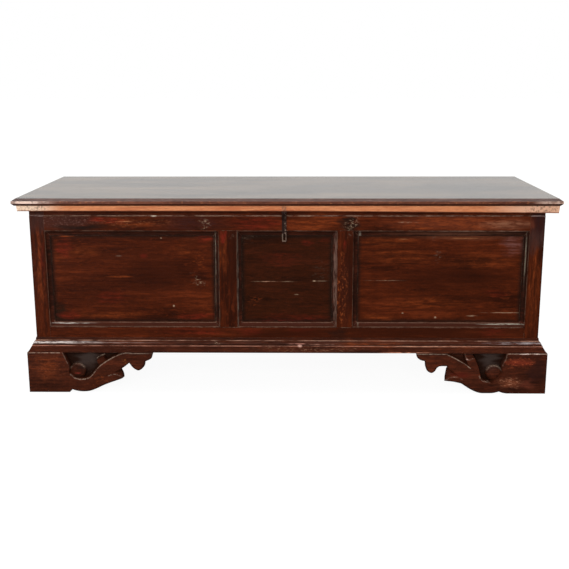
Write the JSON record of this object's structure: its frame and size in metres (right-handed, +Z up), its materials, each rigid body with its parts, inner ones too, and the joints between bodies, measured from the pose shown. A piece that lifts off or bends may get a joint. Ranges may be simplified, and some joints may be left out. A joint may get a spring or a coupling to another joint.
{
  "type": "cassone",
  "caption": "Long low walnut chest with a panelled front, moulded hinged lid and base, carved scroll bracket feet and an iron hasp that hangs from the lid.",
  "frame": {"origin": "on the floor under the middle of the whole chest, hinges included", "axes": "+X to the chest's right end as seen from the front, +Y towards the back, +Z up; the carved front faces -Y"},
  "size_m": [1.682, 0.619, 0.627],
  "materials": {
    "frame_walnut": "dark red-brown walnut, waxed and worn",
    "panel_walnut": "dark red-brown walnut with long red streaks, polished",
    "moulding_walnut": "dark walnut moulding with pale worn edges",
    "base_walnut": "dark walnut, waxed, worn on its edges",
    "lid_walnut": "dark walnut top, polished to a soft gloss",
    "pale_strip": "bare pale wood, rubbed and stained at its ends",
    "inner_wood": "old unpolished softwood, brown with age",
    "iron": "hand-forged iron, dark and slightly rusted"
  },
  "bodies": {
    "carcase": {"back_bottom_board": "inner_wood", "back_middle_board": "inner_wood", "back_top_board": "inner_wood", "base_front_moulding": "base_walnut", "base_left_moulding": "base_walnut", "base_right_moulding": "base_walnut", "bottom_front_board": "inner_wood", "bottom_middle_board": "inner_wood", "bottom_rear_board": "inner_wood", "corner_blocks": "inner_wood", "front_bottom_rail": "frame_walnut", "front_left_foot_scroll": "base_walnut", "front_left_foot_side": "base_walnut", "front_left_moulding": "moulding_walnut", "front_left_muntin": "frame_walnut", "front_left_panel": "panel_walnut", "front_left_stile": "frame_walnut", "front_middle_moulding": "moulding_walnut", "front_middle_panel": "panel_walnut", "front_right_foot_scroll": "base_walnut", "front_right_foot_side": "base_walnut", "front_right_moulding": "moulding_walnut", "front_right_muntin": "frame_walnut", "front_right_panel": "panel_walnut", "front_right_stile": "frame_walnut", "front_top_rail": "frame_walnut", "hinge_leaf_nails": "iron", "left_bottom_rail": "frame_walnut", "left_front_stile": "frame_walnut", "left_hinge_leaf": "iron", "left_hinge_pin": "iron", "left_moulding": "moulding_walnut", "left_panel": "panel_walnut", "left_rear_stile": "frame_walnut", "left_top_rail": "frame_walnut", "rear_left_foot_back": "inner_wood", "rear_left_foot_side": "base_walnut", "rear_right_foot_back": "inner_wood", "rear_right_foot_side": "base_walnut", "right_bottom_rail": "frame_walnut", "right_front_stile": "frame_walnut", "right_hinge_leaf": "iron", "right_hinge_pin": "iron", "right_moulding": "moulding_walnut", "right_panel": "panel_walnut", "right_rear_stile": "frame_walnut", "right_top_rail": "frame_walnut"},
    "lid": {"lid_board": "lid_walnut", "lid_front_strip": "pale_strip", "lid_left_strip": "pale_strip", "lid_right_strip": "pale_strip", "left_hinge_strap": "iron", "right_hinge_strap": "iron", "hinge_strap_nails": "iron", "hasp_leaf": "iron", "hasp_nails": "iron", "hasp_pin": "iron"},
    "hasp": {"hasp": "iron"}
  },
  "joints": [
    {"name": "lid_hinge", "type": "hinge", "parent": "carcase", "child": "lid", "pos_m": [0, 0.3035, 0.60145], "axis": [-1, 0, 0], "range_deg": [0, 105]},
    {"name": "hasp_pivot", "type": "hinge", "parent": "lid", "child": "hasp", "pos_m": [-0.006, -0.29294, 0.58295], "axis": [-1, 0, 0], "range_deg": [0, 120]}
  ]
}
